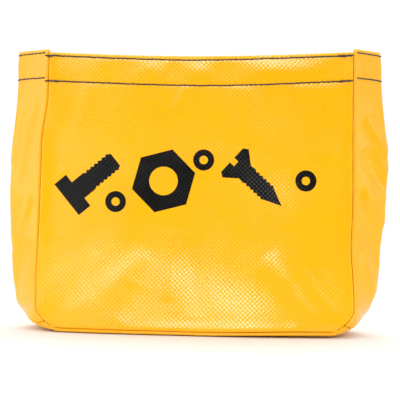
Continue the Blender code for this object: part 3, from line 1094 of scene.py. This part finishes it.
def hem_stitches(name, side, drop, start, end, seed):
    """A row of lockstitch across a panel's hem."""
    rng = np.random.default_rng(seed)
    x = row_stations(start, end, rng)
    wander = 0.25 * MM * np.sin(x / (23.0 * MM) + seed)
    jitter = rng.uniform(-0.10, 0.10, len(x)) * MM
    tack = np.arange(len(x)) >= len(x) - 10
    jitter = jitter + np.where(tack, rng.uniform(-0.4, 0.4, len(x)) * MM, 0.0)
    half = np.where(x < 0.0, side_width(LEFT, 170.0 * MM), side_width(RIGHT, 170.0 * MM))
    z = mouth_height(x / half) - drop + wander + jitter
    here, normal, tangent = panel_frame(side, x, z)
    lift = np.where(tack, 0.30 * MM, 0.12 * MM)[:, None]
    return stitched(name, here + normal * lift, tangent, normal, 1.02 * STITCH_PITCH)


def gusset_stitches(name, flank, drop, seed):
    """A row of lockstitch round a side gusset's hem, over its crease."""
    rng = np.random.default_rng(seed)
    line = lines[flank]
    share = np.arange(-0.90, 0.90, STITCH_PITCH / GUSSET_HALF)
    place = drop + rng.uniform(-0.08, 0.08, len(share)) * MM + 0.2 * MM * share
    here, normal = gusset_points(flank, line, place, share)
    ahead, _ = gusset_points(flank, line, place, share + 0.01)
    along = ahead - here
    along /= np.linalg.norm(along, axis=-1, keepdims=True)
    return stitched(name, here + normal * 0.12 * MM, along, normal, 1.02 * STITCH_PITCH)


for word, drop in (("upper", UPPER_ROW_DROP), ("lower", LOWER_ROW_DROP)):
    seed = 11 if word == "upper" else 23
    for face, side, body in (("front", FRONT, "front"), ("back", BACK, "root")):
        start, end = (-96.0 * MM, 96.5 * MM) if side == FRONT else (-95.5 * MM, 95.5 * MM)
        row = hem_stitches(f"{face}_{word}_stitches", side, drop, start, end, seed)
        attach(row, body)
        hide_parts(f"{face}_hem_{word}_stitching")
    for face, flank in (("left", LEFT), ("right", RIGHT)):
        row = gusset_stitches(f"{face}_gusset_{word}_stitches", flank, drop, seed + 5)
        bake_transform(row)
        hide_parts(f"{face}_gusset_front_{word}_stitching", f"{face}_gusset_rear_{word}_stitching")


# Hook and loop tape inside the hem

TAPE_HALF_LENGTH = 84.0 * MM
TAPE_HEIGHT = 15.0 * MM
TAPE_BASE = 0.5 * MM
TAPE_DROP = 10.4 * MM
TAPE_GAP = 0.08 * MM
PILES = {
    "hook": {"pitch": 1.7 * MM, "length": 0.9 * MM, "radius": 0.13 * MM, "height": 0.34 * MM, "seed": 3},
    "loop": {"pitch": 1.3 * MM, "length": 1.5 * MM, "radius": 0.07 * MM, "height": 0.26 * MM, "seed": 4},
}


def tape_material(name, colour, rib):
    """Woven nylon tape: fine ribs across it and a dull, fibrous surface."""
    n = Nodes(name)
    n.set(Metallic=0.0, Roughness=0.85)
    n.shader.inputs["Sheen Weight"].default_value = 0.3
    fibres = n.noise(1800.0, 3.0)
    bright = tuple(2.2 * c for c in colour)
    n.link(n.ramp(fibres, [(0.3, colour), (0.75, bright)]), n.shader.inputs["Base Color"])
    ribs = n.bump(n.weave(rib), 0.10 * MM)
    n.link(n.bump(fibres, 0.08 * MM, 1.0, ribs), n.shader.inputs["Normal"])
    return n.material


def tape_patch(name, side, material):
    """The tape's woven base, sewn flat against the inside of the hem."""
    width = side_width(RIGHT, 170.0 * MM)
    x = np.linspace(-TAPE_HALF_LENGTH, TAPE_HALF_LENGTH, 141)
    outer, inner, uvs = [], [], []
    for drop in np.linspace(TAPE_DROP + TAPE_HEIGHT / 2.0, TAPE_DROP - TAPE_HEIGHT / 2.0, 14):
        z = mouth_height(x / width) - drop
        near = -(HEM_THICKNESS + TAPE_GAP)
        outer.append(panel_points(side, across_at(x, z), z, near))
        inner.append(panel_points(side, across_at(x, z), z, near - TAPE_BASE))
        uvs.append(np.stack([x, z], -1))
    return closed_sheet(name, np.array(outer), np.array(inner), np.array(uvs), material)


def tape_pile(name, side, material, pitch, length, radius, height, seed):
    """The tape's hooks, or its loops: small arches standing on its face."""
    rng = np.random.default_rng(seed)
    width = side_width(RIGHT, 170.0 * MM)
    edge = 1.0 * MM
    xs = np.arange(-TAPE_HALF_LENGTH + edge, TAPE_HALF_LENGTH - edge, pitch)
    drops = np.arange(TAPE_DROP - TAPE_HEIGHT / 2.0 + edge, TAPE_DROP + TAPE_HEIGHT / 2.0 - edge, pitch)
    x, drop = (v.ravel() for v in np.meshgrid(xs, drops))
    x = x + rng.uniform(-0.25, 0.25, len(x)) * pitch
    drop = drop + rng.uniform(-0.25, 0.25, len(x)) * pitch
    z = mouth_height(x / width) - drop
    here, normal, tangent = panel_frame(side, x, z)
    inward = -normal
    rise = np.cross(inward, tangent)
    turn = rng.uniform(-0.9, 0.9, len(x))[:, None]
    along = tangent * np.cos(turn) + rise * np.sin(turn)
    foot = here + inward * (HEM_THICKNESS + TAPE_GAP + TAPE_BASE + 0.35 * height)
    return stitched(name, foot, along, inward, length, radius, height, material)


hook_tape = tape_material("hook_tape", (0.014, 0.014, 0.015), 0.9 * MM)
loop_tape = tape_material("loop_tape", (0.020, 0.020, 0.021), 0.7 * MM)
tapes = ((FRONT, "hook", hook_tape, "front"), (BACK, "loop", loop_tape, "root"))
for side, word, material, body in tapes:
    base = tape_patch(f"{word}_tape_base", side, material)
    pile = tape_pile(f"{word}_tape_{word}s", side, material, **PILES[word])
    for piece in (base, pile):
        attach(piece, body)
    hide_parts(f"{word}_tape")


# Belt loops on the back

LOOP_CENTRE_X = 50.0 * MM
LOOP_HALF_WIDTH = 12.7 * MM
LOOP_BOTTOM = 74.0 * MM
LOOP_TOP = 150.0 * MM
LOOP_END_LENGTH = 12.0 * MM
LOOP_STAND_OFF = 6.5 * MM
LOOP_THICKNESS = 1.5 * MM
LOOP_GAP = 0.15 * MM
LOOP_ROW_INSET = 0.80
LOOP_STITCH_PITCH = 3.0 * MM
LOOP_STITCH_LENGTH = 2.9 * MM
LOOP_THREAD_RADIUS = 0.28 * MM
LOOP_STITCH_SEED = 31


def strap_points(centre, aside, z, out):
    """Points on a belt loop: aside runs from -1 to 1 across it, and out is measured from its
    inner face."""
    x = centre + aside * LOOP_HALF_WIDTH
    flat = panel_points(BACK, across_at(x, z), z)
    low_end = LOOP_BOTTOM + LOOP_END_LENGTH
    high_end = LOOP_TOP - LOOP_END_LENGTH
    rise = smooth_rise(z, low_end - 2.0 * MM, low_end + 13.0 * MM)
    rise = rise * (1.0 - smooth_rise(z, high_end - 11.0 * MM, high_end + 2.0 * MM))
    sag = 0.5 * MM * np.sin(z / (8.0 * MM)) * rise
    return flat + np.array([0.0, 1.0, 0.0]) * (LOOP_GAP + rise * LOOP_STAND_OFF + sag + out)[..., None]


def belt_loop(name, centre, material):
    """A strap of doubled cloth with turned edges, sewn down at both ends."""
    aside = np.concatenate([[-1.0, -0.985, -0.95], np.linspace(-0.9, 0.9, 17), [0.95, 0.985, 1.0]])
    round_off = np.sqrt(np.clip(1.0 - ((np.abs(aside) - 0.95) / 0.05).clip(0.0, 1.0) ** 2, 0.02, 1.0))
    stitch_pull = 0.14 * MM * hump(np.abs(aside), LOOP_ROW_INSET, 0.05)
    heights = np.concatenate([
        LOOP_BOTTOM + np.array([0.0, 0.15, 0.5]) * MM,
        np.linspace(LOOP_BOTTOM + 1.0 * MM, LOOP_TOP - 1.0 * MM, 76),
        LOOP_TOP - np.array([0.5, 0.15, 0.0]) * MM,
    ])
    end_round = np.ones_like(heights)
    end_round[[0, -1]] = 0.2
    end_round[[1, -2]] = 0.6
    end_round[[2, -3]] = 0.9
    outer, inner, uvs = [], [], []
    middle = LOOP_THICKNESS / 2.0
    for z, ends in zip(heights, end_round):
        where = np.full_like(aside, z)
        half = middle * round_off * ends
        outer.append(strap_points(centre, aside, where, middle + half - stitch_pull))
        inner.append(strap_points(centre, aside, where, middle - half))
        uvs.append(np.stack([aside * LOOP_HALF_WIDTH, where], -1))
    worn = np.tile(0.7 * hump(np.abs(aside), 1.0, 0.05), (len(heights), 1))
    return closed_sheet(name, np.array(outer), np.array(inner), np.array(uvs), material, {"worn": worn})


def strap_stitches(name, centre, seed):
    """Two rows along the strap's edges and a crossed box of stitches at each end."""
    rng = np.random.default_rng(seed)
    inset = LOOP_ROW_INSET
    paths = []
    for aside in (-inset, inset):
        paths.append(((aside, LOOP_BOTTOM + 2.5 * MM), (aside, LOOP_TOP - 2.5 * MM)))
    for low in (LOOP_BOTTOM + 2.5 * MM, LOOP_TOP - LOOP_END_LENGTH + 1.0 * MM):
        high = low + LOOP_END_LENGTH - 3.5 * MM
        for z in (low, high):
            paths.append(((-inset, z), (inset, z)))
        paths.append(((-inset, low), (inset, high)))
        paths.append(((-inset, high), (inset, low)))
    places, alongs, outs = [], [], []
    for (a0, z0), (a1, z1) in paths:
        length = math.hypot((a1 - a0) * LOOP_HALF_WIDTH, z1 - z0)
        count = max(2, round(length / LOOP_STITCH_PITCH))
        share = (np.arange(count) + 0.5) / count
        aside = a0 + (a1 - a0) * share + rng.uniform(-0.01, 0.01, count)
        z = z0 + (z1 - z0) * share
        step = 0.02
        out = np.full(count, LOOP_THICKNESS)
        here = strap_points(centre, aside, z, out)
        ahead = strap_points(centre, aside + (a1 - a0) * step, z + (z1 - z0) * step, out)
        beside = strap_points(centre, aside + 0.05, z, out)
        above = strap_points(centre, aside, z + 0.3 * MM, out)
        normal = np.cross(above - here, beside - here)
        normal /= np.linalg.norm(normal, axis=-1, keepdims=True)
        along = ahead - here
        along /= np.linalg.norm(along, axis=-1, keepdims=True)
        places.append(here + normal * 0.02 * MM)
        alongs.append(along)
        outs.append(normal)
    return stitched(
        name, np.concatenate(places), np.concatenate(alongs), np.concatenate(outs),
        LOOP_STITCH_LENGTH, LOOP_THREAD_RADIUS,
    )


strap_rows = {}
loops = {}
for word, flank in (("left", LEFT), ("right", RIGHT)):
    loops[word] = belt_loop(f"{word}_belt_strap", flank * LOOP_CENTRE_X, yellow_vinyl)
    strap_rows[word] = strap_stitches(
        f"{word}_belt_strap_stitches", flank * LOOP_CENTRE_X, LOOP_STITCH_SEED
    )
    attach(loops[word], "root")
    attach(strap_rows[word], "root")
    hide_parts(f"{word}_belt_loop")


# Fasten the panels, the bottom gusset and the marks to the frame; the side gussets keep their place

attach(front_cloth, "front")
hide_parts("front_panel")
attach(back_cloth, "root")
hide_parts("back_panel")
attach(bottom_cloth, "root")
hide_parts("bottom_gusset")
for word, cloth in (("left", left_cloth), ("right", right_cloth)):
    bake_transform(cloth)
    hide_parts(f"{word}_gusset_front_half", f"{word}_gusset_rear_half")
for node, mark in marks.items():
    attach(mark, "front")
    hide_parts(node)


# Studio

LIGHT_TARGET = Vector((0.0, 0.0, 0.08))
SOFTBOXES = {
    "front_softbox": ((-0.04, -1.17, 0.58), (1.00, 0.32), 7.0),
    "front_lamp": ((0.08, -1.13, 0.50), (0.24, 0.14), 1.3),
    "left_front_softbox": ((-0.46, -1.10, 0.22), (0.16, 0.40), 0.5),
    "left_softbox": ((-1.15, -0.42, 0.30), (0.50, 0.70), 1.9),
    "right_softbox": ((1.15, -0.42, 0.35), (0.25, 0.60), 0.9),
}
FLOOR_RADIUS = 0.50
FLOOR_DROP = 0.3 * MM
CAMERA_TARGET = Vector((2.3 * MM, 0.0, 84.0 * MM))
CAMERA_DISTANCE = 0.650
CAMERA_AZIMUTH = math.radians(2.55)
CAMERA_ELEVATION = math.radians(-0.2)
CAMERA_ROLL = math.radians(1.04)


def softbox(name, place, size, power):
    """Rectangular lamp that faces the pouch."""
    light = bpy.data.lights.new(name, "AREA")
    light.shape = "RECTANGLE"
    light.size, light.size_y = size
    light.energy = power
    obj = bpy.data.objects.new(name, light)
    bpy.context.scene.collection.objects.link(obj)
    obj.location = place
    obj.rotation_mode = "QUATERNION"
    obj.rotation_quaternion = (LIGHT_TARGET - Vector(place)).to_track_quat("-Z", "Y")


def studio_floor():
    """Pale disc under the pouch."""
    floor_mesh = bpy.data.meshes.new("floor")
    ring = [(x, y, 0.0) for x, y in ring_of_points(FLOOR_RADIUS, 96)]
    floor_mesh.from_pydata(ring, [], [list(range(len(ring)))])
    n = Nodes("studio_floor")
    n.set(Roughness=0.8)
    n.shader.inputs["Base Color"].default_value = (0.86, 0.86, 0.86, 1.0)
    n.shader.inputs["Specular IOR Level"].default_value = 0.2
    floor_mesh.materials.append(n.material)
    floor = bpy.data.objects.new("floor", floor_mesh)
    floor.location.z = -FLOOR_DROP
    bpy.context.scene.collection.objects.link(floor)


def surroundings():
    """Plain surroundings: white behind the pouch and darker towards the front, so that its gloss
    shows."""
    world = bpy.data.worlds.new("studio")
    world.use_nodes = True
    bpy.context.scene.world = world
    tree = world.node_tree
    background = tree.nodes["Background"]
    where = tree.nodes.new("ShaderNodeTexCoord")
    parts = tree.nodes.new("ShaderNodeSeparateXYZ")
    share = tree.nodes.new("ShaderNodeMapRange")
    share.inputs["From Min"].default_value = -1.0
    ramp = tree.nodes.new("ShaderNodeValToRGB")
    ramp.color_ramp.interpolation = "EASE"
    stops = [(0.0, 0.06), (0.09, 0.09), (0.29, 0.66), (0.60, 1.0)]
    elements = ramp.color_ramp.elements
    while len(elements) < len(stops):
        elements.new(0.5)
    for element, (position, level) in zip(elements, stops):
        element.position = position
        element.color = (level, level, level, 1.0)
    tree.links.new(where.outputs["Generated"], parts.inputs["Vector"])
    tree.links.new(parts.outputs["Y"], share.inputs["Value"])
    tree.links.new(share.outputs["Result"], ramp.inputs["Fac"])
    tree.links.new(ramp.outputs["Color"], background.inputs["Color"])
    background.inputs["Strength"].default_value = 1.04


def lights():
    """Softboxes round the front and sides, and a broad soft light from above."""
    for name, (place, size, power) in SOFTBOXES.items():
        softbox(name, place, size, power)
    sun = bpy.data.lights.new("ceiling", "SUN")
    sun.energy = 1.0
    sun.angle = math.radians(40.0)
    ceiling = bpy.data.objects.new("ceiling", sun)
    bpy.context.scene.collection.objects.link(ceiling)
    ceiling.rotation_euler = (math.radians(-8.0), 0.0, 0.0)


def camera_view():
    """Long lens, level with the middle of the pouch and almost square to its front."""
    camera_data = bpy.data.cameras.new("camera")
    camera_data.sensor_width = 36.0
    camera_data.lens = 90.8
    camera = bpy.data.objects.new("camera", camera_data)
    bpy.context.scene.collection.objects.link(camera)
    back = Vector((
        math.sin(CAMERA_AZIMUTH) * math.cos(CAMERA_ELEVATION),
        -math.cos(CAMERA_AZIMUTH) * math.cos(CAMERA_ELEVATION),
        math.sin(CAMERA_ELEVATION),
    ))
    camera.location = CAMERA_TARGET + back * CAMERA_DISTANCE
    camera.rotation_euler = (-back).to_track_quat("-Z", "Y").to_euler()
    camera.rotation_euler.rotate_axis("Z", CAMERA_ROLL)
    bpy.context.scene.camera = camera
    bpy.context.scene.view_settings.view_transform = "Standard"


studio_floor()
surroundings()
lights()
camera_view()
